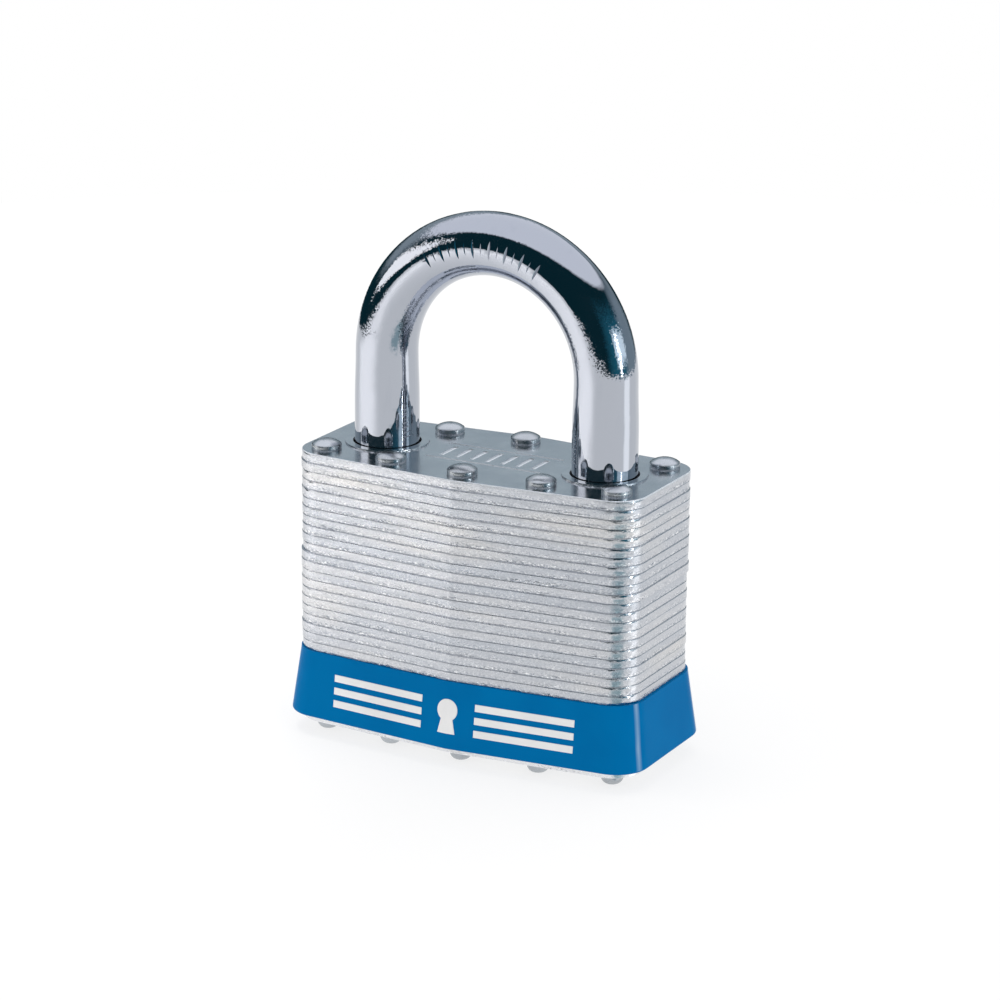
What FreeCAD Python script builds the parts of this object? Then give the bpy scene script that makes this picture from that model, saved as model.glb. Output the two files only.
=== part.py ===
import FreeCAD, Part
import math
import os

# A keyed laminated-steel padlock. Each name in write_parts() is one real piece, or one set of
# like pieces (the rivets, the pivot pins and the bumper's white inlay), and one STEP file.
#
# Frame: millimetres. X runs across the two shackle legs, with the toe leg on +X and the heel leg
# on -X. Y runs front (-Y) to back, and Z up. The origin is under the middle of the body, level
# with the rivet tails that the padlock stands on.
#
# Everything is drawn unlocked with the shackle pushed home: the plug stands PLUG_TURN away from
# the position in which the key comes out, and the cam holds both levers out of the shackle.

# Body of stacked plates
BODY_WIDTH = 51.0
END_THICKNESS = 20.3
MIDDLE_THICKNESS = 24.14
CORNER_RADIUS = 4.3
PLATE_COUNT = 30
PLATE_THICKNESS = 1.265
EDGE_ROLL = 0.13
EDGE_BURR = 0.07
SHIFTED_FROM_PLATE = 12
BLANK_SHIFT = 0.16
BLANK_SCATTER = 0.05

# Which plates hold what, counted from the top plate, number 1
FIRST_LEVER_PLATE = 8
LAST_LEVER_PLATE = 10
LAST_TOE_PLATE = 12
FIRST_CYLINDER_PLATE = 15
FIRST_NARROW_PLATE = 23
NARROWING = 1.2

# Stamped field of plain bars on the top plate
FIELD_DEPTH = 0.15
FIELD_LINE_LENGTH = 17.2
FIELD_LINE_WIDTH = 0.44
FIELD_LINE_Y = 3.4
FIELD_BAR_COUNT = 7
FIELD_BAR_PITCH = 2.3
FIELD_BAR_WIDTH = 0.7
FIELD_BAR_LENGTH = 4.4

# Rivets through the whole stack: (distance from the middle along X, distance along Y)
RIVET_PLACES = [(0.0, 8.9), (11.26, 8.1), (21.76, 7.1)]
RIVET_SHANK_RADIUS = 1.4
RIVET_HEAD_RADIUS = 2.02
RIVET_HEAD_HEIGHT = 1.35
RIVET_HEAD_RIM = 0.72
RIVET_HEAD_FLAT = 0.25
RIVET_HEAD_ROUND = 0.2
RIVET_TAIL_RADIUS = 1.52
RIVET_TAIL_HEIGHT = 1.8
RIVET_TAIL_RIM = 0.85
RIVET_TAIL_FLAT = 0.5
RIVET_FIT = 0.02

# Plastic bumper in the groove made by the narrow plates
BUMPER_TOP_STAND = 0.25
BUMPER_FLARE_WIDTH = 1.37
BUMPER_FLARE_END = 1.16
BUMPER_FLARE_MIDDLE = 1.51
BUMPER_CORNER_RADIUS = 4.73
BUMPER_FIT = 0.05
BUMPER_SKIRT = 0.3
SKIRT_GAP = 0.1
BUMPER_ROUND = 0.35

# White inlay on the bumper's front: a keyhole between two stacks of plain bars
INLAY_LEVEL = 7.2
INLAY_DEPTH = 0.15
INLAY_STAND = 0.03
INLAY_GAP = 0.02
INLAY_BAR_COUNT = 3
INLAY_BAR_PITCH = 1.75
INLAY_BAR_HEIGHT = 0.95
INLAY_BAR_START = 4.0
INLAY_BAR_END = 18.2
KEYHOLE_RADIUS = 1.5
KEYHOLE_RISE = 0.9
KEYHOLE_FOOT = 2.25
KEYHOLE_NECK_HALF = 0.6
KEYHOLE_FOOT_HALF = 1.3
FRONT_REACH = 20.0
FRONT_INNER = 8.0

# Shackle
SHACKLE_RADIUS = 4.4
ARCH_SECTION_RADIUS = 4.24
LEG_TAPER_LENGTH = 7.0
LEG_OFFSET = 16.45
STRAIGHT_ABOVE_BODY = 12.7
SHACKLE_TRAVEL = 17.0
HOLE_GAP = 0.25
COLLAR_RADIUS = 5.7
COLLAR_HEIGHT = 0.22
TOE_TIP_LENGTH = 2.2
TOE_CHAMFER = 1.0
HEEL_FOOT_LENGTH = 3.3
HEEL_CHAMFER = 0.5
TOE_NOTCH_DEPTH = 1.9
HEEL_NOTCH_DEPTH = 2.5
HEEL_FLAT_DEPTH = 0.7
HEEL_NECK_RADIUS = 2.0
NOTCH_ROOM = 0.3
MARK_COUNT = 15
MARK_STEP_DEG = 4.2
MARK_DEPTH = 0.2
SMALL_MARK_DEPTH = 0.09
LARGE_MARK_EVERY = 2

# Locking levers, which swing on pins and are spread by the cam
LEVER_THICKNESS = 2.4
LEVER_FLOOR_GAP = 0.2
LEVER_SWING = 20.0
PIVOT_X = 7.6
PIVOT_Y = 5.4
PIVOT_PIN_RADIUS = 1.0
PIVOT_PIN_END_GAP = 0.1
EYE_RADIUS = 2.2
EYE_ROOM = 0.3
RUNNING_FIT = 0.08
TOE_NOSE_REACH = 13.55
HEEL_NOSE_REACH = 14.2
NOSE_HALF_WIDTH = 1.4
ARM_INNER_X = 8.2
ARM_FRONT_X = 10.9
ARM_BACK_X = 11.6
ARM_BACK_Y = 3.5
ARM_ROOT_X = 9.5
ARM_ROOT_Y = 4.3
TAIL_FACE_Y = 2.25
TAIL_ROOT_Y = 5.2
TAIL_END_X = 0.5
TAIL_END_HEIGHT = 1.5
PIN_SEAT_PLATES = 2
CAVITY_TAIL_X = 8.0
CAVITY_TAIL_Y = 6.7
CAVITY_NOSE_X = 13.2
CAVITY_NOSE_Y = 4.4

# Lock cylinder
PLUG_TURN = 60.0
PLUG_RADIUS = 5.0
HOUSING_RADIUS = 6.6
BLOCK_END_X = 14.0
BLOCK_HALF_WIDTH = 3.2
COVER_THICKNESS = 0.6
HOUSING_FIT = 0.03
PLUG_RECESS = 0.15
FLANGE_RADIUS = 5.6
FLANGE_THICKNESS = 0.6
FLANGE_GAP = 0.1
CLIP_THICKNESS = 0.7
CLIP_GAP = 0.15
CLIP_FIT = 0.02
CLIP_RADIUS = 6.0
CLIP_GROOVE_RADIUS = 4.3
CLIP_OPENING_DEG = 70.0
CLIP_ROOM_RADIUS = 6.3
PLUG_ABOVE_HOUSING = 1.6
KEYWAY_WIDTH = 1.8
KEYWAY_WARD = 0.7
KEYWAY_FAR_SPAN = (-4.2, -0.4)
KEYWAY_PIN_SPAN = (-0.8, 2.9)
KEYWAY_HEIGHT = 18.0

# Cam on the plug's inner end
CAM_THICKNESS = 2.8
CAM_HALF_WIDTH = 1.85
CAM_END_OFFSET = 2.4
CAM_SHAFT_RADIUS = 2.35
CAM_DISC_RADIUS = 4.3
CAM_DISC_THICKNESS = 0.7
CAM_DISC_GAP = 0.03
CAM_SHOULDER_GAP = 0.15
TONGUE_WIDTH = 1.6
TONGUE_LENGTH = 7.0
TONGUE_HEIGHT = 1.4
SLOT_GAP = 0.05

# Pin stacks: one (key pin tip distance from the plug's axis) per chamber
KEY_PIN_TIPS = [1.7, 2.4, 1.5, 2.1]
FIRST_PIN_HEIGHT = 3.0
PIN_PITCH = 3.9
PIN_RADIUS = 1.25
CHAMBER_RADIUS = 1.32
KEY_PIN_OUTER = 4.8
KEY_PIN_POINT_LENGTH = 0.7
KEY_PIN_POINT_RADIUS = 0.5
DRIVER_PIN_INNER = 5.15
DRIVER_PIN_LENGTH = 3.6
PIN_SPRING_RADIUS = 0.85
PIN_SPRING_WIRE = 0.16
PIN_SPRING_HALF_TURNS = 14

# Larger springs, and the small gaps at the ends of every spring
SPRING_FOOT_GAP = 0.02
SPRING_HEAD_GAP = 0.05
SHACKLE_SPRING_RADIUS = 3.3
SHACKLE_SPRING_WIRE = 0.3
SHACKLE_SPRING_HALF_TURNS = 8
LEVER_SPRING_RADIUS = 1.5
LEVER_SPRING_WIRE = 0.15
LEVER_SPRING_HALF_TURNS = 3
LEVER_SPRING_PITCH = 0.36
LEVER_SPRING_LEG = 2.6

# Derived heights
BODY_TOP = RIVET_TAIL_HEIGHT + PLATE_COUNT * PLATE_THICKNESS
OVER = 1.0


def plate_top(number):
    return BODY_TOP - (number - 1) * PLATE_THICKNESS


def plate_bottom(number):
    return BODY_TOP - number * PLATE_THICKNESS


LEVER_LOW = plate_bottom(LAST_LEVER_PLATE) + LEVER_FLOOR_GAP
LEVER_HIGH = LEVER_LOW + LEVER_THICKNESS
NOTCH_LOW = LEVER_LOW - NOTCH_ROOM
NOTCH_HIGH = LEVER_HIGH + NOTCH_ROOM
ARCH_HEIGHT = BODY_TOP + STRAIGHT_ABOVE_BODY
TOE_TIP = NOTCH_LOW - TOE_TIP_LENGTH
NECK_LOW = NOTCH_LOW - SHACKLE_TRAVEL
NECK_HIGH = NOTCH_HIGH - SHACKLE_TRAVEL
HEEL_TIP = NECK_LOW - HEEL_FOOT_LENGTH
CYLINDER_LOW = plate_bottom(PLATE_COUNT - 1)
HOUSING_LOW = CYLINDER_LOW + HOUSING_FIT
HOUSING_HIGH = plate_top(FIRST_CYLINDER_PLATE) - HOUSING_FIT
PLUG_LOW = RIVET_TAIL_HEIGHT + PLUG_RECESS
PLUG_HIGH = HOUSING_HIGH + PLUG_ABOVE_HOUSING


# ---------------------------------------------------------------- plain shapes

def point(x, y, z=0.0):
    return FreeCAD.Vector(x, y, z)


def line(start, end):
    return Part.LineSegment(start, end).toShape()


def cylinder(radius, low, high, x=0.0, y=0.0):
    return Part.makeCylinder(radius, high - low, point(x, y, low))


def rod(radius, start, end):
    along = end.sub(start)
    return Part.makeCylinder(radius, along.Length, start, along)


def block(x_low, x_high, y_low, y_high, z_low, z_high):
    return Part.makeBox(x_high - x_low, y_high - y_low, z_high - z_low, point(x_low, y_low, z_low))


def turned(shape, degrees, x=0.0, y=0.0):
    copy = shape.copy()
    copy.rotate(point(x, y), point(0, 0, 1), degrees)
    return copy


def fused(first, *others):
    return first.fuse(list(others)).removeSplitter()


def prism(points, low, high):
    corners = [point(x, y, low) for x, y in points]
    wire = Part.makePolygon(corners + corners[:1])
    return Part.Face(wire).extrude(point(0, 0, high - low))


def rounded_wire(corners, radii, z):
    """A closed wire through straight sides, with each corner rounded to its own radius."""
    pieces = []
    ends = []
    for index, (x, y) in enumerate(corners):
        here = point(x, y, z)
        back = point(*corners[index - 1], z).sub(here).normalize()
        ahead = point(*corners[(index + 1) % len(corners)], z).sub(here).normalize()
        radius = radii[index]
        if radius == 0:
            ends.append((here, here))
            continue
        half_angle = back.getAngle(ahead) / 2
        tangent = radius / math.tan(half_angle)
        middle = (back + ahead).normalize()
        nearest = here + middle * (radius / math.sin(half_angle) - radius)
        start = here + back * tangent
        end = here + ahead * tangent
        pieces.append(Part.Arc(start, nearest, end).toShape())
        ends.append((start, end))
    for index, (start, _) in enumerate(ends):
        pieces.append(line(ends[index - 1][1], start))
    return Part.Wire(Part.__sortEdges__(pieces))


def body_wire(half_width, end_y, middle_y, corner_radius, z, shift=(0.0, 0.0)):
    """The body's six-sided outline: blunt ridges front and back, and four rounded corners."""
    dx, dy = shift
    corners = [
        (-half_width, -end_y), (0.0, -middle_y), (half_width, -end_y),
        (half_width, end_y), (0.0, middle_y), (-half_width, end_y),
    ]
    radii = [corner_radius, 0, corner_radius, corner_radius, 0, corner_radius]
    return rounded_wire([(x + dx, y + dy) for x, y in corners], radii, z)


def edges_at(shape, z):
    return [e for e in shape.Edges if all(abs(v.Z - z) < 1e-6 for v in e.Vertexes)]


def coil(radius, pitch, half_turns, wire_radius, low):
    """A coil spring standing on Z, whose wire's middle starts on +X at height low.

    It is a chain of half rings that lean one way and then the other. Where two meet, both run
    along Y, so the wire is smooth all the way.
    """
    rings = []
    for index in range(half_turns):
        side = 1 if index % 2 == 0 else -1
        start = point(side * radius, 0, low + index * pitch / 2)
        centre = point(0, 0, low + (index + 0.5) * pitch / 2)
        axis = (start - centre).cross(point(0, side, 0))
        section = Part.Circle(start, point(0, 1, 0), wire_radius)
        rings.append(Part.Face(Part.Wire(section.toShape())).revolve(centre, axis, 180))
    return fused(*rings)


# ---------------------------------------------------------------- the stack of plates

def blank_shift(number):
    """How far a plate's outline stands off its rivet holes: presses leave a little scatter."""
    if number >= FIRST_NARROW_PLATE:
        return (0.0, 0.0)
    group = -BLANK_SHIFT if number >= SHIFTED_FROM_PLATE else 0.0
    return (group + BLANK_SCATTER * math.sin(2.4 * number), BLANK_SCATTER * math.cos(1.7 * number))


def blank(number):
    """One punched plate before its holes, with a rolled upper edge and a small lower one."""
    low = plate_bottom(number)
    inset = 0.0
    if FIRST_NARROW_PLATE <= number < PLATE_COUNT:
        inset = NARROWING
    wire = body_wire(
        BODY_WIDTH / 2 - inset,
        END_THICKNESS / 2 - inset,
        MIDDLE_THICKNESS / 2 - inset,
        CORNER_RADIUS - inset,
        low,
        blank_shift(number),
    )
    plate = Part.Face(wire).extrude(point(0, 0, PLATE_THICKNESS))
    plate = plate.makeFillet(EDGE_ROLL, edges_at(plate, low + PLATE_THICKNESS))
    return plate.makeFillet(EDGE_BURR, edges_at(plate, low))


def rivet_points():
    places = []
    for x, y in RIVET_PLACES:
        for side in (-1, 1):
            for end in (-1, 1):
                if (end * x, side * y) not in places:
                    places.append((end * x, side * y))
    return places


def plate_cutters(number):
    """Everything punched out of one plate."""
    low = plate_bottom(number) - OVER
    high = plate_top(number) + OVER
    hole = SHACKLE_RADIUS + HOLE_GAP
    tools = [cylinder(RIVET_SHANK_RADIUS + RIVET_FIT, low, high, x, y) for x, y in rivet_points()]
    if number < PLATE_COUNT:
        tools.append(cylinder(hole, low, high, -LEG_OFFSET))
    if number <= LAST_TOE_PLATE:
        tools.append(cylinder(hole, low, high, LEG_OFFSET))
    if FIRST_LEVER_PLATE <= number <= LAST_LEVER_PLATE:
        tools += lever_room(low, high)
    elif FIRST_LEVER_PLATE - PIN_SEAT_PLATES <= number <= LAST_LEVER_PLATE + PIN_SEAT_PLATES:
        for side in (-1, 1):
            seat = PIVOT_PIN_RADIUS + RIVET_FIT
            tools.append(cylinder(seat, low, high, side * PIVOT_X, side * PIVOT_Y))
    if LAST_LEVER_PLATE < number <= LAST_TOE_PLATE:
        tools.append(cylinder(CAM_SHAFT_RADIUS + RUNNING_FIT, low, high))
    if LAST_TOE_PLATE < number < FIRST_CYLINDER_PLATE:
        tools.append(cylinder(CLIP_ROOM_RADIUS, low, high))
    if FIRST_CYLINDER_PLATE <= number < PLATE_COUNT:
        tools += cylinder_room(low, high)
    if number == PLATE_COUNT:
        tools.append(cylinder(PLUG_RADIUS + RUNNING_FIT, low, high))
    return tools


def lever_room(low, high):
    tools = [
        block(-CAVITY_TAIL_X, CAVITY_TAIL_X, -CAVITY_TAIL_Y, CAVITY_TAIL_Y, low, high),
        block(-CAVITY_NOSE_X, CAVITY_NOSE_X, -CAVITY_NOSE_Y, CAVITY_NOSE_Y, low, high),
    ]
    for side in (-1, 1):
        tools.append(cylinder(EYE_RADIUS + EYE_ROOM, low, high, side * PIVOT_X, side * PIVOT_Y))
    return tools


def cylinder_room(low, high):
    half = BLOCK_HALF_WIDTH + HOUSING_FIT
    end = BLOCK_END_X + COVER_THICKNESS + 2 * HOUSING_FIT
    return [
        cylinder(HOUSING_RADIUS + HOUSING_FIT, low, high),
        block(0, end, -half, half, low, high),
    ]


def plain_plate(number):
    return blank(number).cut(plate_cutters(number))


def top_plate():
    """The top plate has a low collar round each shackle hole and a stamped field of bars."""
    plate = blank(1)
    collars = []
    for side in (-1, 1):
        collar = Part.makeCone(
            COLLAR_RADIUS + COLLAR_HEIGHT, COLLAR_RADIUS, COLLAR_HEIGHT + OVER / 2,
            point(side * LEG_OFFSET, 0, BODY_TOP - OVER / 2),
        )
        collars.append(collar)
    plate = fused(plate, *collars)
    return plate.cut(plate_cutters(1) + stamped_marks())


def stamped_marks():
    """Shallow stamped bars between the shackle legs: two long lines with short bars between."""
    low = BODY_TOP - FIELD_DEPTH
    high = BODY_TOP + OVER
    long = FIELD_LINE_LENGTH / 2
    wide = FIELD_LINE_WIDTH / 2
    marks = []
    for y in (-FIELD_LINE_Y, FIELD_LINE_Y):
        marks.append(block(-long, long, y - wide, y + wide, low, high))
    for index in range(FIELD_BAR_COUNT):
        x = (index - (FIELD_BAR_COUNT - 1) / 2) * FIELD_BAR_PITCH
        half = FIELD_BAR_WIDTH / 2
        reach = FIELD_BAR_LENGTH / 2
        marks.append(block(x - half, x + half, -reach, reach, low, high))
    return marks


# ---------------------------------------------------------------- outer pieces

def flared_block(grow=0.0):
    """The bumper's outer shape, filled in, with its sides moved outwards by grow."""
    low = plate_bottom(PLATE_COUNT - 1) - BUMPER_SKIRT
    high = plate_top(FIRST_NARROW_PLATE)
    half_width = BODY_WIDTH / 2 + grow
    end_y = END_THICKNESS / 2 + grow
    middle_y = MIDDLE_THICKNESS / 2 + grow
    wide = body_wire(
        half_width + BUMPER_FLARE_WIDTH, end_y + BUMPER_FLARE_END,
        middle_y + BUMPER_FLARE_MIDDLE, BUMPER_CORNER_RADIUS + grow, low,
    )
    close = body_wire(
        half_width + BUMPER_TOP_STAND, end_y + BUMPER_TOP_STAND,
        middle_y + BUMPER_TOP_STAND, CORNER_RADIUS + BUMPER_TOP_STAND + grow, high,
    )
    return Part.makeLoft([wide, close], True, True)


def bumper():
    """A flared ring that fills the groove of the narrow plates.

    Its skirt hangs round the bottom plate, and its front is recessed for the white inlay."""
    low = plate_bottom(PLATE_COUNT - 1)
    high = plate_top(FIRST_NARROW_PLATE)
    ring = flared_block()
    ring = ring.makeFillet(BUMPER_ROUND, edges_at(ring, low - BUMPER_SKIRT))
    inset = NARROWING - BUMPER_FIT
    core = body_wire(
        BODY_WIDTH / 2 - inset, END_THICKNESS / 2 - inset, MIDDLE_THICKNESS / 2 - inset,
        CORNER_RADIUS - inset, low - OVER,
    )
    ring = ring.cut(Part.Face(core).extrude(point(0, 0, high - low + 2 * OVER)))
    mouth = body_wire(
        BODY_WIDTH / 2 + SKIRT_GAP, END_THICKNESS / 2 + SKIRT_GAP,
        MIDDLE_THICKNESS / 2 + SKIRT_GAP, CORNER_RADIUS + SKIRT_GAP,
        low - OVER, blank_shift(PLATE_COUNT),
    )
    ring = ring.cut(Part.Face(mouth).extrude(point(0, 0, OVER)))
    floor = flared_block(-INLAY_DEPTH)
    return ring.cut([stencil.cut(floor) for stencil in inlay_stencils(INLAY_GAP)])


def inlay_stencils(grow=0.0):
    """The inlay's outlines, run from front to back through the bumper's front wall."""
    near, far = -FRONT_REACH, -FRONT_INNER
    stencils = []
    for index in range(INLAY_BAR_COUNT):
        middle = INLAY_LEVEL + (index - (INLAY_BAR_COUNT - 1) / 2) * INLAY_BAR_PITCH
        low = middle - INLAY_BAR_HEIGHT / 2 - grow
        high = middle + INLAY_BAR_HEIGHT / 2 + grow
        inner = INLAY_BAR_START - grow
        outer = INLAY_BAR_END + grow
        stencils.append(block(inner, outer, near, far, low, high))
        stencils.append(block(-outer, -inner, near, far, low, high))
    centre = INLAY_LEVEL + KEYHOLE_RISE
    foot = INLAY_LEVEL - KEYHOLE_FOOT - grow
    bow = rod(KEYHOLE_RADIUS + grow, point(0, near, centre), point(0, far, centre))
    neck = KEYHOLE_NECK_HALF + grow
    wide = KEYHOLE_FOOT_HALF + grow
    corners = [
        point(-neck, near, centre), point(neck, near, centre),
        point(wide, near, foot), point(-wide, near, foot),
    ]
    skirt = Part.Face(Part.makePolygon(corners + corners[:1])).extrude(point(0, far - near, 0))
    stencils.append(fused(bow, skirt))
    return stencils


def bumper_inlay():
    """Seven white pieces set into the bumper's front, a hair proud of it."""
    skin = flared_block(INLAY_STAND).cut(flared_block(INLAY_GAP - INLAY_DEPTH))
    pieces = [skin.common(stencil) for stencil in inlay_stencils()]
    return Part.makeCompound([solid for piece in pieces for solid in piece.Solids])


def dome(radius, rim, height, flat):
    """Half a rivet end's section turned about Z: a straight rim, then a cap that ends in a flat."""
    rise = height - rim
    run = radius - flat
    cap_radius = (run ** 2 + rise ** 2) / (2 * rise)
    halfway = math.asin(run / cap_radius) / 2
    cap_centre = height - cap_radius
    middle = point(
        flat + cap_radius * math.sin(halfway), 0, cap_centre + cap_radius * math.cos(halfway)
    )
    outline = [
        line(point(0, 0, 0), point(radius, 0, 0)),
        line(point(radius, 0, 0), point(radius, 0, rim)),
        Part.Arc(point(radius, 0, rim), middle, point(flat, 0, height)).toShape(),
        line(point(flat, 0, height), point(0, 0, height)),
        line(point(0, 0, height), point(0, 0, 0)),
    ]
    face = Part.Face(Part.Wire(outline))
    return face.revolve(point(0, 0, 0), point(0, 0, 1), 360)


def rivets():
    """Ten identical rivets, as separate solids."""
    solids = []
    for x, y in rivet_points():
        head = dome(RIVET_HEAD_RADIUS, RIVET_HEAD_RIM, RIVET_HEAD_HEIGHT, RIVET_HEAD_FLAT)
        head = head.makeFillet(RIVET_HEAD_ROUND, edges_at(head, RIVET_HEAD_RIM))
        head.translate(point(x, y, BODY_TOP))
        tail = dome(RIVET_TAIL_RADIUS, RIVET_TAIL_RIM, RIVET_TAIL_HEIGHT, RIVET_TAIL_FLAT)
        tail.rotate(point(0, 0, 0), point(1, 0, 0), 180)
        tail.translate(point(x, y, RIVET_TAIL_HEIGHT))
        shank = cylinder(RIVET_SHANK_RADIUS, RIVET_TAIL_HEIGHT, BODY_TOP, x, y)
        solids.append(fused(shank, head, tail))
    return Part.makeCompound(solids)


def thinning_bar(x, low, high):
    """A round bar that thins from the leg's radius to the arch's, with no crease at either end."""
    third = (high - low) / 3
    side = Part.BezierCurve()
    side.setPoles([
        point(SHACKLE_RADIUS, 0, low), point(SHACKLE_RADIUS, 0, low + third),
        point(ARCH_SECTION_RADIUS, 0, high - third), point(ARCH_SECTION_RADIUS, 0, high),
    ])
    inside = Part.makePolygon([
        point(ARCH_SECTION_RADIUS, 0, high), point(0, 0, high),
        point(0, 0, low), point(SHACKLE_RADIUS, 0, low),
    ])
    half = Part.Face(Part.Wire([side.toShape()] + inside.Edges))
    solid = half.revolve(point(0, 0, 0), point(0, 0, 1), 360)
    solid.translate(point(x, 0, 0))
    return solid


def leg(x, tip, chamfer):
    """A straight leg with a chamfered tip, which thins a little on its way up to the arch."""
    taper_low = ARCH_HEIGHT - LEG_TAPER_LENGTH
    bar = cylinder(SHACKLE_RADIUS, tip + chamfer, taper_low, x)
    end = Part.makeCone(SHACKLE_RADIUS - chamfer, SHACKLE_RADIUS, chamfer, point(x, 0, tip))
    return bar, end, thinning_bar(x, taper_low, ARCH_HEIGHT)


def arch():
    """The bend, where the bar is a little thinner than in the legs."""
    section = Part.Circle(point(LEG_OFFSET, 0, ARCH_HEIGHT), point(0, 0, 1), ARCH_SECTION_RADIUS)
    face = Part.Face(Part.Wire(section.toShape()))
    return face.revolve(point(0, 0, ARCH_HEIGHT), point(0, -1, 0), 180)


def shackle_marks():
    """Chisel marks across the front of the arch, by turns large and small."""
    marks = []
    for index in range(MARK_COUNT):
        depth = SMALL_MARK_DEPTH if index % LARGE_MARK_EVERY else MARK_DEPTH
        reach = OVER + depth
        near = -ARCH_SECTION_RADIUS - OVER
        tip = -ARCH_SECTION_RADIUS + depth
        low = LEG_OFFSET - ARCH_SECTION_RADIUS
        corners = [point(-reach, near, low), point(reach, near, low), point(0, tip, low)]
        wedge = Part.Face(Part.makePolygon(corners + corners[:1]))
        tick = wedge.extrude(point(0, 0, 2 * ARCH_SECTION_RADIUS))
        lean = (index - (MARK_COUNT - 1) / 2) * MARK_STEP_DEG
        tick.rotate(point(0, 0, 0), point(0, 1, 0), lean)
        tick.translate(point(0, 0, ARCH_HEIGHT))
        marks.append(tick)
    return marks


def shackle():
    """A bar bent into a U, notched for the levers, with a neck and foot on the longer heel leg."""
    solid = fused(
        arch(), *leg(LEG_OFFSET, TOE_TIP, TOE_CHAMFER), *leg(-LEG_OFFSET, HEEL_TIP, HEEL_CHAMFER)
    )
    inner = LEG_OFFSET - SHACKLE_RADIUS
    wide = SHACKLE_RADIUS + OVER
    toe_notch = block(inner - OVER, inner + TOE_NOTCH_DEPTH, -wide, wide, NOTCH_LOW, NOTCH_HIGH)
    heel_notch = block(-inner - HEEL_NOTCH_DEPTH, -inner + OVER, -wide, wide, NOTCH_LOW, NOTCH_HIGH)
    heel_flat = block(-inner - HEEL_FLAT_DEPTH, -inner + OVER, -wide, wide, NECK_LOW, NOTCH_HIGH)
    groove = cylinder(wide, NECK_LOW, NECK_HIGH, -LEG_OFFSET).cut(
        cylinder(HEEL_NECK_RADIUS, NECK_LOW - OVER, NECK_HIGH + OVER, -LEG_OFFSET)
    )
    return solid.cut([toe_notch, heel_notch, heel_flat, groove] + shackle_marks())


# ---------------------------------------------------------------- locking levers

def toe_side_lever(nose_reach):
    """A lever in its locked position on the toe side: pivot eye, tail for the cam, and nose."""
    eye = cylinder(EYE_RADIUS, LEVER_LOW, LEVER_HIGH, PIVOT_X, PIVOT_Y)
    tail = prism(
        [
            (TAIL_END_X, TAIL_FACE_Y), (ARM_INNER_X, TAIL_FACE_Y), (PIVOT_X, PIVOT_Y),
            (PIVOT_X - EYE_RADIUS, TAIL_ROOT_Y), (TAIL_END_X, TAIL_FACE_Y + TAIL_END_HEIGHT),
        ],
        LEVER_LOW, LEVER_HIGH,
    )
    arm = prism(
        [
            (PIVOT_X, PIVOT_Y), (ARM_INNER_X, TAIL_FACE_Y), (ARM_FRONT_X, -NOSE_HALF_WIDTH),
            (nose_reach, -NOSE_HALF_WIDTH), (nose_reach, NOSE_HALF_WIDTH),
            (ARM_BACK_X, ARM_BACK_Y), (ARM_ROOT_X, ARM_ROOT_Y),
        ],
        LEVER_LOW, LEVER_HIGH,
    )
    hole = cylinder(
        PIVOT_PIN_RADIUS + RUNNING_FIT, LEVER_LOW - OVER, LEVER_HIGH + OVER, PIVOT_X, PIVOT_Y
    )
    return fused(eye, tail, arm).cut(hole)


def toe_lever():
    return turned(toe_side_lever(TOE_NOSE_REACH), -LEVER_SWING, PIVOT_X, PIVOT_Y)


def heel_lever():
    drawn_back = turned(toe_side_lever(HEEL_NOSE_REACH), -LEVER_SWING, PIVOT_X, PIVOT_Y)
    return turned(drawn_back, 180)


def lever_pivot_pins():
    low = plate_bottom(LAST_LEVER_PLATE + PIN_SEAT_PLATES) + PIVOT_PIN_END_GAP
    high = plate_top(FIRST_LEVER_PLATE - PIN_SEAT_PLATES) - PIVOT_PIN_END_GAP
    return Part.makeCompound(
        [cylinder(PIVOT_PIN_RADIUS, low, high, s * PIVOT_X, s * PIVOT_Y) for s in (-1, 1)]
    )


def toe_lever_spring():
    """A torsion spring on the pivot pin: one leg on the cavity wall, one along the lever."""
    radius = LEVER_SPRING_RADIUS
    rise = LEVER_SPRING_PITCH * LEVER_SPRING_HALF_TURNS / 2
    low = (LEVER_HIGH + plate_top(FIRST_LEVER_PLATE) - rise) / 2
    wire = coil(radius, LEVER_SPRING_PITCH, LEVER_SPRING_HALF_TURNS, LEVER_SPRING_WIRE, low)
    legs = []
    for start in (point(radius, 0, low), point(-radius, 0, low + rise)):
        legs.append(rod(LEVER_SPRING_WIRE, start, start - point(0, LEVER_SPRING_LEG, 0)))
    spring = fused(wire, *legs)
    spring.translate(point(PIVOT_X, PIVOT_Y, 0))
    return spring


def heel_lever_spring():
    return turned(toe_lever_spring(), 180)


def shackle_spring():
    """A compression spring under the heel leg, shown squeezed by the closed shackle."""
    low = CYLINDER_LOW + SHACKLE_SPRING_WIRE + SPRING_FOOT_GAP
    high = HEEL_TIP - SHACKLE_SPRING_WIRE - SPRING_HEAD_GAP
    pitch = 2 * (high - low) / SHACKLE_SPRING_HALF_TURNS
    spring = coil(
        SHACKLE_SPRING_RADIUS, pitch, SHACKLE_SPRING_HALF_TURNS, SHACKLE_SPRING_WIRE, low
    )
    spring.translate(point(-LEG_OFFSET, 0, 0))
    return spring


# ---------------------------------------------------------------- lock cylinder

def pin_height(index):
    return HOUSING_LOW + FIRST_PIN_HEIGHT + index * PIN_PITCH


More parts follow.
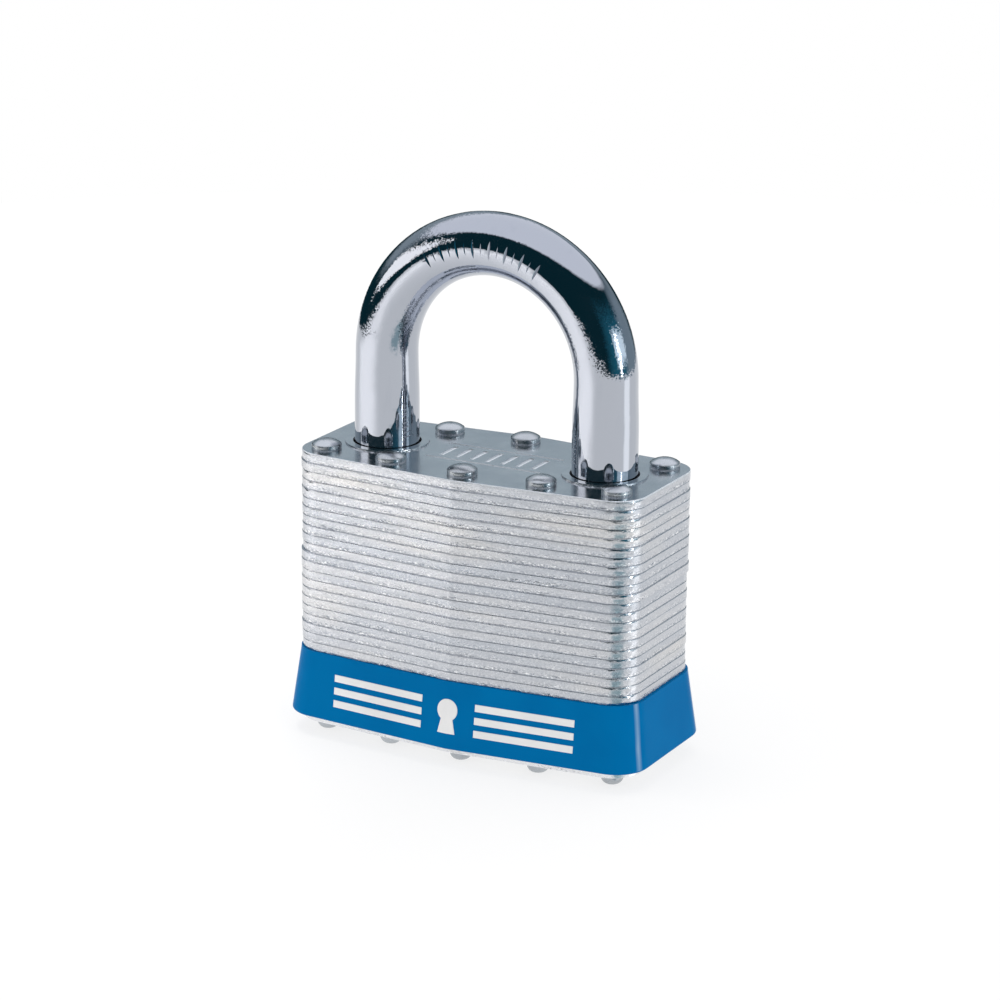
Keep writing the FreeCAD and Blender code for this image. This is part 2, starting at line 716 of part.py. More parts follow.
def cylinder_housing():
    shell = fused(
        cylinder(HOUSING_RADIUS, HOUSING_LOW, HOUSING_HIGH),
        block(0, BLOCK_END_X, -BLOCK_HALF_WIDTH, BLOCK_HALF_WIDTH, HOUSING_LOW, HOUSING_HIGH),
    )
    tools = [
        cylinder(PLUG_RADIUS + RUNNING_FIT, HOUSING_LOW - OVER, HOUSING_HIGH + OVER),
        cylinder(FLANGE_RADIUS + FLANGE_GAP, HOUSING_LOW - OVER, flange_high() + FLANGE_GAP),
    ]
    for index in range(len(KEY_PIN_TIPS)):
        z = pin_height(index)
        tools.append(rod(CHAMBER_RADIUS, point(0, 0, z), point(BLOCK_END_X + OVER, 0, z)))
    return shell.cut(tools)


def pin_chamber_cover():
    low = BLOCK_END_X + HOUSING_FIT / 2
    return block(
        low, low + COVER_THICKNESS, -BLOCK_HALF_WIDTH, BLOCK_HALF_WIDTH, HOUSING_LOW, HOUSING_HIGH
    )


def flange_high():
    return CYLINDER_LOW + FLANGE_GAP + FLANGE_THICKNESS


def clip_low():
    return HOUSING_HIGH + CLIP_GAP


def keyway():
    """The key's slot, in two steps that stand off the middle to either side."""
    low = PLUG_LOW - OVER
    high = PLUG_LOW + KEYWAY_HEIGHT
    half = KEYWAY_WIDTH / 2
    shift = KEYWAY_WARD / 2
    return [
        block(*KEYWAY_FAR_SPAN, -half - shift, half - shift, low, high),
        block(*KEYWAY_PIN_SPAN, -half + shift, half + shift, low, high),
    ]


def plug():
    """The plug, drawn with its pin holes facing +X and then turned to the unlocked position."""
    solid = fused(
        cylinder(PLUG_RADIUS, PLUG_LOW, PLUG_HIGH),
        cylinder(FLANGE_RADIUS, CYLINDER_LOW + FLANGE_GAP, flange_high()),
    )
    groove_low = clip_low() - SLOT_GAP
    groove_high = clip_low() + CLIP_THICKNESS + SLOT_GAP
    groove = cylinder(PLUG_RADIUS + OVER, groove_low, groove_high).cut(
        cylinder(CLIP_GROOVE_RADIUS, groove_low - OVER, groove_high + OVER)
    )
    half_slot = TONGUE_WIDTH / 2 + SLOT_GAP
    slot = block(
        -PLUG_RADIUS - OVER, PLUG_RADIUS + OVER, -half_slot, half_slot,
        PLUG_HIGH - TONGUE_HEIGHT - SLOT_GAP, PLUG_HIGH + OVER,
    )
    tools = keyway() + [groove, slot]
    for index in range(len(KEY_PIN_TIPS)):
        z = pin_height(index)
        tools.append(rod(CHAMBER_RADIUS, point(0, 0, z), point(PLUG_RADIUS + OVER, 0, z)))
    return turned(solid.cut(tools), PLUG_TURN)


def plug_clip():
    """An open ring that keeps the plug in its housing."""
    low = clip_low()
    high = low + CLIP_THICKNESS
    ring = cylinder(CLIP_RADIUS, low, high).cut(
        cylinder(CLIP_GROOVE_RADIUS + CLIP_FIT, low - OVER, high + OVER)
    )
    reach = 2 * CLIP_RADIUS
    half = math.radians(CLIP_OPENING_DEG / 2)
    wedge = prism(
        [
            (0, 0),
            (-reach * math.cos(half), reach * math.sin(half)),
            (-reach * math.cos(half), -reach * math.sin(half)),
        ],
        low - OVER, high + OVER,
    )
    return turned(ring.cut(wedge), PLUG_TURN)


def cam():
    """A tongue in the plug's slot, a disc, a shaft, and the oblong cam between the lever tails."""
    disc_low = PLUG_HIGH + CAM_DISC_GAP
    tongue_low = PLUG_HIGH - TONGUE_HEIGHT
    oblong_low = LEVER_LOW
    oblong_high = oblong_low + CAM_THICKNESS
    side = CAM_END_OFFSET
    solid = fused(
        block(
            -TONGUE_LENGTH / 2, TONGUE_LENGTH / 2, -TONGUE_WIDTH / 2, TONGUE_WIDTH / 2,
            tongue_low, disc_low,
        ),
        cylinder(CAM_DISC_RADIUS, disc_low, disc_low + CAM_DISC_THICKNESS),
        cylinder(CAM_SHAFT_RADIUS, disc_low, LEVER_LOW - CAM_SHOULDER_GAP),
        cylinder(CAM_HALF_WIDTH, disc_low, oblong_high),
        block(-side, side, -CAM_HALF_WIDTH, CAM_HALF_WIDTH, oblong_low, oblong_high),
        cylinder(CAM_HALF_WIDTH, oblong_low, oblong_high, -side),
        cylinder(CAM_HALF_WIDTH, oblong_low, oblong_high, side),
    )
    return turned(solid, PLUG_TURN)


def key_pin(index):
    """A pointed pin in the plug, held at the shear line as the key holds it."""
    tip = KEY_PIN_TIPS[index]
    z = pin_height(index)
    shank = rod(PIN_RADIUS, point(tip + KEY_PIN_POINT_LENGTH, 0, z), point(KEY_PIN_OUTER, 0, z))
    cone = Part.makeCone(
        KEY_PIN_POINT_RADIUS, PIN_RADIUS, KEY_PIN_POINT_LENGTH, point(tip, 0, z), point(1, 0, 0)
    )
    return turned(fused(shank, cone), PLUG_TURN)


def driver_pin(index):
    z = pin_height(index)
    inner = point(DRIVER_PIN_INNER, 0, z)
    return rod(PIN_RADIUS, inner, point(DRIVER_PIN_INNER + DRIVER_PIN_LENGTH, 0, z))


def pin_spring(index):
    low = DRIVER_PIN_INNER + DRIVER_PIN_LENGTH + PIN_SPRING_WIRE + SPRING_HEAD_GAP
    high = BLOCK_END_X - PIN_SPRING_WIRE - SPRING_FOOT_GAP
    pitch = 2 * (high - low) / PIN_SPRING_HALF_TURNS
    spring = coil(PIN_SPRING_RADIUS, pitch, PIN_SPRING_HALF_TURNS, PIN_SPRING_WIRE, low)
    spring.rotate(point(0, 0, 0), point(0, 1, 0), 90)
    spring.translate(point(0, 0, pin_height(index)))
    return spring


# ---------------------------------------------------------------- files

def write_parts():
    pieces = {"top_plate": top_plate()}
    for number in range(2, PLATE_COUNT):
        pieces[f"lamination_{number:02d}"] = plain_plate(number)
    pieces["bottom_plate"] = plain_plate(PLATE_COUNT)
    for make in (
        bumper, bumper_inlay, rivets, shackle, toe_lever, heel_lever, lever_pivot_pins, toe_lever_spring,
        heel_lever_spring, shackle_spring, cylinder_housing, pin_chamber_cover, plug, plug_clip, cam,
    ):
        pieces[make.__name__] = make()
    for index in range(len(KEY_PIN_TIPS)):
        pieces[f"key_pin_{index + 1}"] = key_pin(index)
        pieces[f"driver_pin_{index + 1}"] = driver_pin(index)
        pieces[f"pin_spring_{index + 1}"] = pin_spring(index)
    os.makedirs("parts", exist_ok=True)
    for name, shape in pieces.items():
        if not shape.isValid():
            print("not valid:", name)
        solids = len(shape.Solids)
        print(f"{name}: {solids} solid(s), {shape.Volume:.1f} mm3")
        shape.exportStep(f"parts/{name}.step")


write_parts()
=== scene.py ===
import math

import bpy
from mathutils import Matrix, Vector


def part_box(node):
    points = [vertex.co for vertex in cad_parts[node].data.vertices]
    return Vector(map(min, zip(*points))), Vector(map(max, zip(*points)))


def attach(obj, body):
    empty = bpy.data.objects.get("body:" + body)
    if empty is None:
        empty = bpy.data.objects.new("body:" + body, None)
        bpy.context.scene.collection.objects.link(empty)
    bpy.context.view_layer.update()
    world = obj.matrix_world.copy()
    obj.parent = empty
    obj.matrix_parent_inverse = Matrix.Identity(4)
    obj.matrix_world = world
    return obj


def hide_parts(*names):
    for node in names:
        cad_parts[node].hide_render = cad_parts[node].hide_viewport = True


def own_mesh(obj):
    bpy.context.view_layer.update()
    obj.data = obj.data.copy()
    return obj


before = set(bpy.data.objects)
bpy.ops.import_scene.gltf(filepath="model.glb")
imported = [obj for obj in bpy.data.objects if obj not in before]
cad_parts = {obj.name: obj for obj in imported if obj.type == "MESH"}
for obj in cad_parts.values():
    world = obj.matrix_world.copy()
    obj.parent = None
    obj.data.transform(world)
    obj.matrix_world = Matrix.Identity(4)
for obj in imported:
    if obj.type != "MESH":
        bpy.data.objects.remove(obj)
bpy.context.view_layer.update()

# Sizes read from the frame, in metres
PLATE_COUNT = 30
SHEETS = ["top_plate"] + [f"lamination_{n:02d}" for n in range(2, PLATE_COUNT)] + ["bottom_plate"]
PLATE_LOW, PLATE_HIGH = (corner.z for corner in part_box("lamination_02"))
PLATE_THICKNESS = PLATE_HIGH - PLATE_LOW
BODY_TOP = PLATE_HIGH + PLATE_THICKNESS
BODY_LOW = BODY_TOP - PLATE_COUNT * PLATE_THICKNESS
STAMP_DEPTH = 0.00015
PIN_COUNT = 4

# Camera, placed round the middle of the body's top face
CAMERA_AZIMUTH = 28.159
CAMERA_ELEVATION = 16.84
CAMERA_DISTANCE = 0.4813
CAMERA_ROLL = 0.397
CAMERA_RIGHT = 0.000744
CAMERA_UP = -0.005634
CAMERA_LENS = 130.07

# Shackle chrome: fine grain on the bend only, faded in between two heights above the body
GRAIN_SCALE = 8000.0
GRAIN_LEAN = 0.12
GRAIN_START = 0.0115
GRAIN_FULL = 0.016

# Bumper: a painted highlight, a light blue line, runs where a corner's normal points this much
# along X
HIGHLIGHT_LINE_START, HIGHLIGHT_LINE_FULL, HIGHLIGHT_LINE_FADE, HIGHLIGHT_LINE_END = 0.885, 0.93, 0.935, 0.97
HIGHLIGHT_LINE_BLUE = (0.60, 0.74, 0.84)

TOOL_MARK_SCALE = 260.0
BEVEL_SAMPLES = 6

# Studio: a pale round table in a dark room, under a wide pale ceiling, with two softboxes.
# Past its rim the table's tone goes on a little way up the walls. The strips on the table start
# from under the body's right front corner.
TABLE_RADIUS = 0.36
RIM_POINTS = 128
TABLE_GLOW = 0.74
STRIP_START = (0.0235, -0.0085, 0)
DARK_STRIP_TURN = 14
DARK_STRIP_END = 0.13
DARK_STRIP_TINT = (0.14, 0.33, 0.39)
BRIGHT_STRIP_TURN = 80
BRIGHT_STRIP_GLOW = 0.6
SOFTBOX_DISTANCE = 0.75
TABLE_LIGHT_HEIGHT = 0.25
TABLE_LIGHT_SPREAD = 30
ROOM_DARK = (0.004, 0.030, 0.042)
ROOM_TEAL = (0.02, 0.16, 0.24)
ROOM_SIDE = (0.30, 0.38, 0.44)
ROOM_BEHIND = (0.35, 0.42, 0.47)
CEILING = (1.10, 1.12, 1.20)
CEILING_TURN = 15
CEILING_EDGE = 0.57
CEILING_SLOPE = 0.33
CEILING_EDGE_LEAST = 0.5
TEAL_TURN = 62
SIDE_TURN = 112
BEYOND_TABLE = (0.97, 0.97, 0.98)
WHITE = (1, 1, 1)


def flat_direction(turn):
    """A level unit vector, turned in degrees from the camera's side towards its right."""
    angle = math.radians(CAMERA_AZIMUTH + turn)
    return Vector((math.sin(angle), -math.cos(angle), 0))


# ---------------------------------------------------------------- material helper

class Nodes:
    """A short way to write a material's nodes. Sockets and plain numbers both work as inputs."""

    def __init__(self, name, tree=None):
        if tree is None:
            self.material = bpy.data.materials.new(name)
            self.material.use_nodes = True
            tree = self.material.node_tree
            self.shader = tree.nodes["Principled BSDF"]
        self.tree = tree

    def put(self, socket, value):
        if isinstance(value, bpy.types.NodeSocket):
            self.tree.links.new(value, socket)
        elif hasattr(value, "__len__") and len(socket.default_value) == 4 and len(value) == 3:
            socket.default_value = (*value, 1)
        else:
            socket.default_value = value

    def add(self, kind, inputs=None, **settings):
        node = self.tree.nodes.new("ShaderNode" + kind)
        for key, value in settings.items():
            setattr(node, key, value)
        for key, value in (inputs or {}).items():
            self.put(node.inputs[key], value)
        return node

    def set(self, **values):
        for key, value in values.items():
            self.put(self.shader.inputs[key.replace("_", " ")], value)

    def math(self, operation, a, b=0.0, clamp=False):
        node = self.add("Math", {0: a, 1: b}, operation=operation, use_clamp=clamp)
        return node.outputs[0]

    def place(self, stretch=(1, 1, 1)):
        """The surface point in the row frame, with each axis multiplied by its stretch."""
        coords = self.add("TexCoord").outputs["Object"]
        return self.add("Mapping", {"Vector": coords, "Scale": stretch}).outputs[0]

    def split(self, vector):
        return self.add("SeparateXYZ", {0: vector}).outputs

    def noise(self, vector, scale, detail=2.0, roughness=0.5, distortion=0.0):
        inputs = {
            "Vector": vector, "Scale": scale, "Detail": detail,
            "Roughness": roughness, "Distortion": distortion,
        }
        return self.add("TexNoise", inputs).outputs["Fac"]

    def remap(self, value, low, high, to_low=0.0, to_high=1.0):
        inputs = {0: value, 1: low, 2: high, 3: to_low, 4: to_high}
        return self.add("MapRange", inputs, clamp=True).outputs[0]

    def mix(self, share, first, second):
        node = self.add("Mix", data_type="RGBA")
        self.put(node.inputs[0], share)
        self.put(node.inputs[6], first)
        self.put(node.inputs[7], second)
        return node.outputs[2]

    def bump(self, height, depth, strength=1.0, below=None):
        """A bump whose full height is depth metres, on top of an earlier bump if one is given."""
        node = self.add("Bump", {"Height": height, "Distance": depth, "Strength": strength})
        if below is not None:
            self.put(node.inputs["Normal"], below)
        return node.outputs[0]

    def flakes(self, vector, scale, amount):
        """The surface normal, leant a little one way or another in each small grain."""
        grain = self.add("TexVoronoi", {"Vector": vector, "Scale": scale}).outputs["Color"]
        lean = self.add("VectorMath", {0: grain, 1: (0.5, 0.5, 0.5)}, operation="SUBTRACT")
        lean = self.add("VectorMath", {0: lean.outputs[0], 3: amount}, operation="SCALE")
        normal = self.add("NewGeometry").outputs["Normal"]
        both = self.add("VectorMath", {0: normal, 1: lean.outputs[0]}, operation="ADD")
        return self.add("VectorMath", {0: both.outputs[0]}, operation="NORMALIZE").outputs[0]


def paint(node, material):
    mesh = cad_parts[node].data
    mesh.materials.clear()
    mesh.materials.append(material)


# ---------------------------------------------------------------- materials

def plate_metal():
    """Plated sheet: smooth rolled faces, and sheared edges with a torn lower zone and flecks that
    are partly painted glints and painted shade.
    """
    n = Nodes("plate_metal")
    place = n.place()
    z = n.split(place)[2]
    level = n.math("DIVIDE", n.math("SUBTRACT", z, BODY_LOW), PLATE_THICKNESS)
    index = n.math("FLOOR", n.math("ADD", level, 0.0005))
    height = n.math("SUBTRACT", level, index)
    own = n.add("TexWhiteNoise", {"W": index}, noise_dimensions="1D").outputs
    normal = n.split(n.add("NewGeometry").outputs["Normal"])
    flat = n.remap(n.math("ABSOLUTE", normal[2]), 0.85, 0.98)

    # along each edge: long soft streaks, then torn patches whose upper border wanders
    streak = n.noise(n.place((60, 60, 1400)), 1.0, 3.0, 0.6)
    warm = n.noise(n.place((45, 45, 160)), 1.0, 2.0)
    border = n.noise(n.place((260, 260, 900)), 1.0, 3.0, 0.6)
    torn = n.remap(n.math("ADD", height, n.math("MULTIPLY", border, -0.9)), -0.02, -0.22)
    cluster = n.remap(n.noise(n.place((120, 120, 800)), 1.0, 2.0), 0.42, 0.62)
    grain = n.noise(n.place((2600, 2600, 5200)), 1.0, 2.0, 0.65)
    fine = n.noise(place, 6000.0, 1.0)
    coarse = n.noise(n.place((1200, 1200, 2600)), 1.0, 2.0, 0.6)
    busy = n.math("MULTIPLY", torn, n.remap(cluster, 0.0, 1.0, 0.35, 1.0))
    busy = n.remap(busy, 0.0, 1.0, 0.14, 1.0)
    bright = n.math("MULTIPLY", n.remap(grain, 0.54, 0.66), busy)
    dark = n.math("MULTIPLY", n.remap(grain, 0.46, 0.34), busy)

    tint = n.mix(own["Value"], (0.47, 0.495, 0.535), (0.57, 0.58, 0.605))
    tint = n.mix(n.remap(warm, 0.55, 0.72, 0.0, 0.7), tint, (0.66, 0.645, 0.625))
    tint = n.mix(n.remap(streak, 0.40, 0.68, 0.0, 0.5), tint, (0.49, 0.52, 0.57))
    tint = n.mix(n.remap(fine, 0.56, 0.66, 0.0, 0.25), tint, (0.86, 0.87, 0.89))
    tint = n.mix(n.remap(fine, 0.44, 0.34, 0.0, 0.25), tint, (0.36, 0.39, 0.44))
    # flecks in the torn zone, near white and dark: partly the torn grain, partly painted glints and
    # painted shade
    tint = n.mix(n.math("MULTIPLY", bright, 0.95), tint, (0.97, 0.98, 0.99))
    tint = n.mix(n.math("MULTIPLY", dark, 0.85), tint, (0.20, 0.23, 0.28))

    # painted highlight: the lowest plate is painted near white
    lowest = n.math("LESS_THAN", index, 0.5)
    tint = n.mix(n.math("MULTIPLY", lowest, 0.6), tint, (0.95, 0.95, 0.96))

    # the rolled faces are bluer and quieter, and stamped marks and the roll of the top edge get a
    # painted highlight, near white
    cloud = n.noise(n.place((150, 150, 150)), 1.0, 4.0, 0.6)
    face = n.mix(n.remap(cloud, 0.35, 0.65), (0.64, 0.67, 0.71), (0.76, 0.78, 0.81))
    scratch = n.remap(n.noise(n.place((300, 2200, 300)), 1.0, 4.0, 0.7), 0.58, 0.70)
    face = n.mix(n.math("MULTIPLY", scratch, 0.5), face, (0.70, 0.74, 0.78))
    painted_glint_band = n.math("COMPARE", z, BODY_TOP - STAMP_DEPTH * 0.57)
    painted_glint_band.node.inputs[2].default_value = STAMP_DEPTH / 2
    color = n.mix(n.math("MULTIPLY", painted_glint_band, 0.8), n.mix(flat, tint, face), (0.93, 0.95, 0.97))
    n.set(Base_Color=color, Metallic=1.0)

    # the edges bulge a little, and are more round and more polished in places at the corners
    corner = n.math("MULTIPLY", n.math("MULTIPLY", normal[0], normal[1]), 2.6)
    corner = n.math("ABSOLUTE", corner, clamp=True)
    smudge = n.remap(n.noise(n.place((420, 420, 1100)), 1.0, 2.0), 0.35, 0.6)
    rubbed = n.math("MULTIPLY", corner, smudge)

    rough = n.remap(n.noise(n.place((300, 300, 1500)), 1.0, 3.0), 0.3, 0.7, 0.24, 0.36)
    rough = n.math("SUBTRACT", rough, n.math("MULTIPLY", rubbed, 0.17))
    face_rough = n.remap(n.noise(place, 900.0, 3.0), 0.3, 0.7, 0.16, 0.25)
    rough = n.math("ADD", n.math("MULTIPLY", rough, n.math("SUBTRACT", 1.0, flat)),
                   n.math("MULTIPLY", face_rough, flat))
    n.set(Roughness=n.math("ADD", rough, n.math("MULTIPLY", painted_glint_band, 0.3)))

    bulge = n.math("ADD", 0.12, n.math("MULTIPLY", rubbed, 1.3))
    middle = n.math("SUBTRACT", height, 0.5)
    dome = n.math("SUBTRACT", 0.25, n.math("MULTIPLY", middle, middle))

    drag = n.noise(n.place((2600, 2600, 500)), 1.0, 2.0)
    bump = n.bump(drag, 0.000012, n.remap(flat, 0, 1, 0.55, 0.15))
    edge = n.math("SUBTRACT", 1.0, flat)
    bump = n.bump(dome, 0.0003, n.math("MULTIPLY", bulge, edge), bump)
    bump = n.bump(coarse, 0.00016, n.math("MULTIPLY", n.math("MULTIPLY", busy, 0.7), edge), bump)
    bump = n.bump(grain, 0.00010, n.math("MULTIPLY", n.math("MULTIPLY", busy, 0.8), edge), bump)
    n.set(Normal=bump)
    return n.material


def chrome():
    """Plating over a forged bar: a mirror with a faint orange peel and patches of fine grain."""
    n = Nodes("shackle_chrome")
    place = n.place()
    peel = n.noise(place, 420.0, 2.0)
    patch = n.remap(n.noise(place, 110.0, 3.0, 0.6), 0.42, 0.62)
    bend = n.remap(n.split(place)[2], BODY_TOP + GRAIN_START, BODY_TOP + GRAIN_FULL)
    patch = n.math("MULTIPLY", patch, bend)
    scuff = n.remap(n.noise(n.place((500, 500, 90)), 1.0, 3.0), 0.56, 0.72)
    tone = n.mix(n.math("MULTIPLY", scuff, 0.25), (0.415, 0.44, 0.49), (0.35, 0.38, 0.43))
    n.set(Base_Color=tone, Metallic=1.0, Roughness=n.remap(patch, 0, 1, 0.04, 0.07))
    drawn = n.noise(n.place((1500, 1500, 60)), 1.0, 2.0)
    bump = n.flakes(place, GRAIN_SCALE, n.math("MULTIPLY", patch, GRAIN_LEAN))
    bump = n.bump(peel, 0.00006, 0.3, bump)
    n.set(Normal=n.bump(drawn, 0.000012, 0.5, bump))
    return n.material


def polished(name, color, roughness=0.12, rounding=0.0):
    """Bright plated steel with small dents, and edges that look rounded by a distance in metres."""
    n = Nodes(name)
    place = n.place()
    dents = n.noise(place, 900.0, 3.0)
    shade = n.noise(place, 350.0, 3.0)
    low = tuple(0.82 * c for c in color)
    n.set(Base_Color=n.mix(n.remap(shade, 0.35, 0.7), color, low), Metallic=1.0)
    n.set(Roughness=n.remap(dents, 0.3, 0.7, roughness * 0.7, roughness * 1.6))
    soft = None
    if rounding:
        soft = n.add("Bevel", {"Radius": rounding}, samples=BEVEL_SAMPLES).outputs[0]
    n.set(Normal=n.bump(dents, 0.00004, 0.35, soft))
    return n.material


def machined(name, color, roughness):
    """A turned or drawn metal with fine tool marks and slight tarnish."""
    n = Nodes(name)
    place = n.place()
    marks = n.add("TexWave", {
        "Vector": place, "Scale": TOOL_MARK_SCALE,
        "Distortion": 1.5, "Detail": 2.0, "Detail Scale": 6.0,
    }, bands_direction="Z").outputs["Fac"]
    tarnish = n.noise(place, 260.0, 4.0, 0.6)
    grain = n.noise(place, 3000.0, 2.0)
    aged = tuple(0.62 * c for c in color)
    n.set(Base_Color=n.mix(n.remap(tarnish, 0.45, 0.75), color, aged), Metallic=1.0)
    n.set(Roughness=n.remap(tarnish, 0.3, 0.75, roughness * 0.8, roughness * 1.35))
    bump = n.bump(marks, 0.00001, 0.35)
    n.set(Normal=n.bump(grain, 0.00001, 0.3, bump))
    return n.material


def moulded(name, color, edge_color, roughness, ior):
    """Moulded plastic: a faint texture, fine scratches, and a thin painted highlight line down each
    corner.
    """
    n = Nodes(name)
    place = n.place()
    texture = n.noise(place, 1800.0, 2.0)
    wave = n.noise(place, 140.0, 2.0)
    scratch = n.remap(n.noise(n.place((900, 900, 160)), 1.0, 3.0, 0.7), 0.62, 0.74)
    tone = n.mix(n.remap(wave, 0.35, 0.65), color, edge_color)
    normal = n.split(n.add("NewGeometry").outputs["Normal"])
    side = n.math("ADD", n.math("ABSOLUTE", normal[0]), n.math("MULTIPLY", wave, 0.02))
    start = n.remap(side, HIGHLIGHT_LINE_START, HIGHLIGHT_LINE_FULL)
    corner = n.math("MULTIPLY", start, n.remap(side, HIGHLIGHT_LINE_END, HIGHLIGHT_LINE_FADE))
    # painted highlight: a thin light blue line down each corner, where the normal points mostly
    # along X
    painted_highlight = n.math("MULTIPLY", corner, n.remap(wave, 0.35, 0.65, 0.22, 0.36))
    tone = n.mix(painted_highlight, tone, HIGHLIGHT_LINE_BLUE)
    n.set(Base_Color=tone, Metallic=0.0, IOR=ior)
    n.set(Roughness=n.math("ADD", n.remap(wave, 0.3, 0.7, roughness * 0.85, roughness * 1.2),
                           n.math("MULTIPLY", scratch, 0.08)))
    bump = n.bump(wave, 0.00025, 0.25)
    n.set(Normal=n.bump(texture, 0.000012, 0.35, bump))
    return n.material


plates = plate_metal()
materials = {
    "rivets": polished("rivet_steel", (0.51, 0.54, 0.57), 0.24, 0.0005),
    "shackle": chrome(),
    "bumper": moulded("bumper_blue", (0.0002, 0.140, 0.362), (0.0002, 0.128, 0.34), 0.13, 1.06),
    "bumper_inlay": moulded("inlay_white", (0.78, 0.78, 0.78), (0.72, 0.72, 0.725), 0.3, 1.3),
    "brass": machined("cast_brass", (0.66, 0.47, 0.20), 0.36),
    "plug": machined("plug_brass", (0.76, 0.57, 0.26), 0.24),
    "lever": machined("lever_steel", (0.44, 0.44, 0.45), 0.36),
    "spring": polished("spring_wire", (0.56, 0.57, 0.58), 0.2),
}
BRASS_NODES = ("cylinder_housing", "pin_chamber_cover")

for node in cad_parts:
    if node in SHEETS:
        paint(node, plates)
    elif node in materials:
        paint(node, materials[node])
    elif node in BRASS_NODES:
        paint(node, materials["brass"])
    elif node.startswith(("key_pin", "driver_pin")):
        paint(node, materials["plug"])
    elif "spring" in node or node == "plug_clip":
        paint(node, materials["spring"])
    else:
        paint(node, materials["lever"])


# ---------------------------------------------------------------- spring coils

def pin_spring(number):
    """The coil behind a driver pin: a copy of its spring's mesh, set on the case in place of the
    spring.
    """
    node = f"pin_spring_{number}"
    piece = bpy.data.objects.new(f"{node}_coil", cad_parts[node].data.copy())
    bpy.context.scene.collection.objects.link(piece)
    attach(piece, "case")
    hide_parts(node)
    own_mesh(piece)


for number in range(1, PIN_COUNT + 1):
    pin_spring(number)


# ---------------------------------------------------------------- studio

def camera():
    azimuth = math.radians(CAMERA_AZIMUTH)
    elevation = math.radians(CAMERA_ELEVATION)
    roll = math.radians(CAMERA_ROLL)
    back = flat_direction(0) * math.cos(elevation) + Vector((0, 0, math.sin(elevation)))
    level = Vector((math.cos(azimuth), math.sin(azimuth), 0))
    upright = back.cross(level)
    right = level * math.cos(roll) + upright * math.sin(roll)
    up = upright * math.cos(roll) - level * math.sin(roll)
    place = Vector((0, 0, BODY_TOP)) + back * CAMERA_DISTANCE
    place += right * CAMERA_RIGHT + up * CAMERA_UP
    data = bpy.data.cameras.new("camera")
    data.lens = CAMERA_LENS
    data.sensor_width = 36
    data.clip_start = 0.01
    data.clip_end = 20
    thing = bpy.data.objects.new("camera", data)
    bpy.context.scene.collection.objects.link(thing)
    rotation = Matrix((right, up, back)).transposed()
    thing.matrix_world = Matrix.Translation(place) @ rotation.to_4x4()
    bpy.context.scene.camera = thing


def softbox(name, turn, lift, width, height, brightness, color=WHITE, distance=SOFTBOX_DISTANCE):
    """A rectangular light that faces the shackle from a turn and a lift in degrees."""
    target = Vector((0, 0, BODY_TOP))
    rise = math.radians(lift)
    away = flat_direction(turn) * math.cos(rise) + Vector((0, 0, math.sin(rise)))
    place = target + away * distance
    data = bpy.data.lights.new(name, "AREA")
    data.shape = "RECTANGLE"
    data.size = width
    data.size_y = height
    data.energy = brightness * math.pi * width * height
    data.color = color
    thing = bpy.data.objects.new(name, data)
    bpy.context.scene.collection.objects.link(thing)
    aim = (-away).to_track_quat("-Z", "Y")
    thing.matrix_world = Matrix.Translation(place) @ aim.to_matrix().to_4x4()


def table_light(name, turn, distance, size, power, color):
    """A narrow downward light that brightens a patch of table and isn't seen in the metal."""
    place = flat_direction(turn) * distance + Vector((0, 0, TABLE_LIGHT_HEIGHT))
    data = bpy.data.lights.new(name, "AREA")
    data.size = size
    data.spread = math.radians(TABLE_LIGHT_SPREAD)
    data.energy = power
    data.color = color
    thing = bpy.data.objects.new(name, data)
    bpy.context.scene.collection.objects.link(thing)
    thing.location = place
    thing.visible_glossy = False


def room():
    """White for the camera, even light for matt surfaces, and the studio's shape for gloss."""
    world = bpy.data.worlds.new("room")
    bpy.context.scene.world = world
    world.use_nodes = True
    tree = world.node_tree
    tree.nodes.clear()
    n = Nodes("room", tree)
    ray = n.add("TexCoord").outputs["Generated"]
    z = n.split(ray)[2]

    def toward(turn):
        along = n.add("VectorMath", {0: ray, 1: flat_direction(turn)}, operation="DOT_PRODUCT")
        return along.outputs["Value"]

    # the ceiling reaches lower at the back than over the camera
    border = n.math("MULTIPLY", toward(CEILING_TURN), CEILING_SLOPE)
    border = n.math("MAXIMUM", n.math("ADD", border, CEILING_EDGE), CEILING_EDGE_LEAST)
    ceiling = n.remap(n.math("SUBTRACT", z, border), -0.02, 0.05)
    behind = n.remap(toward(CEILING_TURN), -0.35, -0.7)
    behind = n.math("MULTIPLY", behind, n.remap(z, 0.10, 0.24))
    teal = n.remap(toward(TEAL_TURN), 0.60, 0.92)
    teal = n.math("MULTIPLY", teal, n.remap(z, 0.62, 0.35))
    side = n.remap(toward(SIDE_TURN), 0.78, 0.93)
    tone = n.mix(teal, ROOM_DARK, ROOM_TEAL)
    tone = n.mix(side, tone, ROOM_SIDE)
    tone = n.mix(behind, tone, ROOM_BEHIND)
    tone = n.mix(ceiling, tone, CEILING)
    tone = n.mix(n.remap(z, -0.145, -0.16), tone, BEYOND_TABLE)

    path = n.add("LightPath").outputs
    gloss = n.add("Background", {"Color": tone, "Strength": 1.0})
    even = n.add("Background", {"Color": WHITE, "Strength": n.remap(z, 0.0, 0.6, 0.5, 1.14)})
    white = n.add("Background", {"Color": WHITE, "Strength": 1.0})
    first = n.add("MixShader", {0: path["Is Glossy Ray"], 1: even.outputs[0], 2: gloss.outputs[0]})
    last = n.add("MixShader", {0: path["Is Camera Ray"], 1: first.outputs[0], 2: white.outputs[0]})
    out = n.add("OutputWorld")
    n.put(out.inputs["Surface"], last.outputs[0])


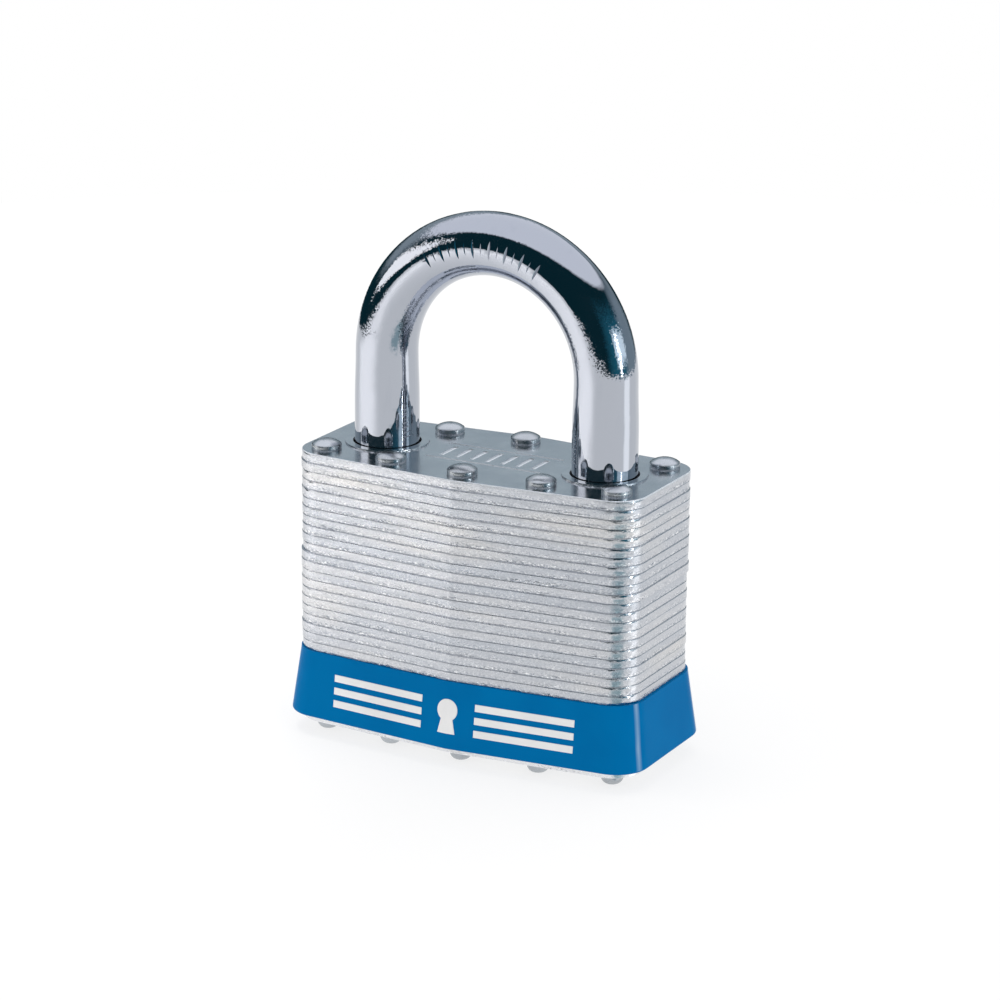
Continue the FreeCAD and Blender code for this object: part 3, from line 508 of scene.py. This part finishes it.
def table():
    turns = [math.tau * i / RIM_POINTS for i in range(RIM_POINTS)]
    rim = [(TABLE_RADIUS * math.cos(turn), TABLE_RADIUS * math.sin(turn), 0) for turn in turns]
    mesh = bpy.data.meshes.new("table")
    mesh.from_pydata(rim, [], [tuple(range(RIM_POINTS))])
    thing = bpy.data.objects.new("table", mesh)
    bpy.context.scene.collection.objects.link(thing)
    n = Nodes("table")
    n.set(Base_Color=(0.25, 0.25, 0.252), Roughness=0.9, Specular_IOR_Level=0.1)
    out = n.add("VectorMath", {0: n.place(), 1: STRIP_START}, operation="SUBTRACT").outputs[0]
    reach = n.add("VectorMath", {0: out}, operation="LENGTH").outputs["Value"]

    def toward(turn):
        along = n.add("VectorMath", {0: out, 1: flat_direction(turn)}, operation="DOT_PRODUCT")
        return n.math("DIVIDE", along.outputs["Value"], reach)

    # only reflections show a dark strip towards the camera's side and a bright one on its right
    reflected = n.add("LightPath").outputs["Is Glossy Ray"]
    near = n.remap(reach, DARK_STRIP_END, 0.10)
    dark = n.math("MULTIPLY", n.remap(toward(DARK_STRIP_TURN), 0.90, 0.975), near)
    dark = n.math("MULTIPLY", dark, reflected)
    bright = n.math("MULTIPLY", n.remap(toward(BRIGHT_STRIP_TURN), 0.965, 0.99), reflected)
    n.set(Emission_Color=n.mix(dark, WHITE, DARK_STRIP_TINT))
    glow = n.math("ADD", TABLE_GLOW, n.math("MULTIPLY", bright, BRIGHT_STRIP_GLOW))
    n.set(Emission_Strength=glow)
    mesh.materials.append(n.material)


camera()
room()
table()
softbox(
    "left_softbox", turn=-88, lift=13, width=0.46, height=0.24, brightness=1.8,
    color=(1.0, 0.96, 0.94),
)
softbox(
    "right_softbox", turn=63, lift=10, width=0.56, height=0.24, brightness=1.2,
    color=(0.92, 0.97, 1.0),
)
softbox(
    "right_tube", turn=57, lift=5, width=0.024, height=0.24, brightness=24, distance=0.72
)
table_light(
    "left_pool", turn=-81, distance=0.21, size=0.22, power=0.43, color=(1.0, 0.95, 0.91)
)
bpy.context.scene.view_settings.view_transform = "Standard"
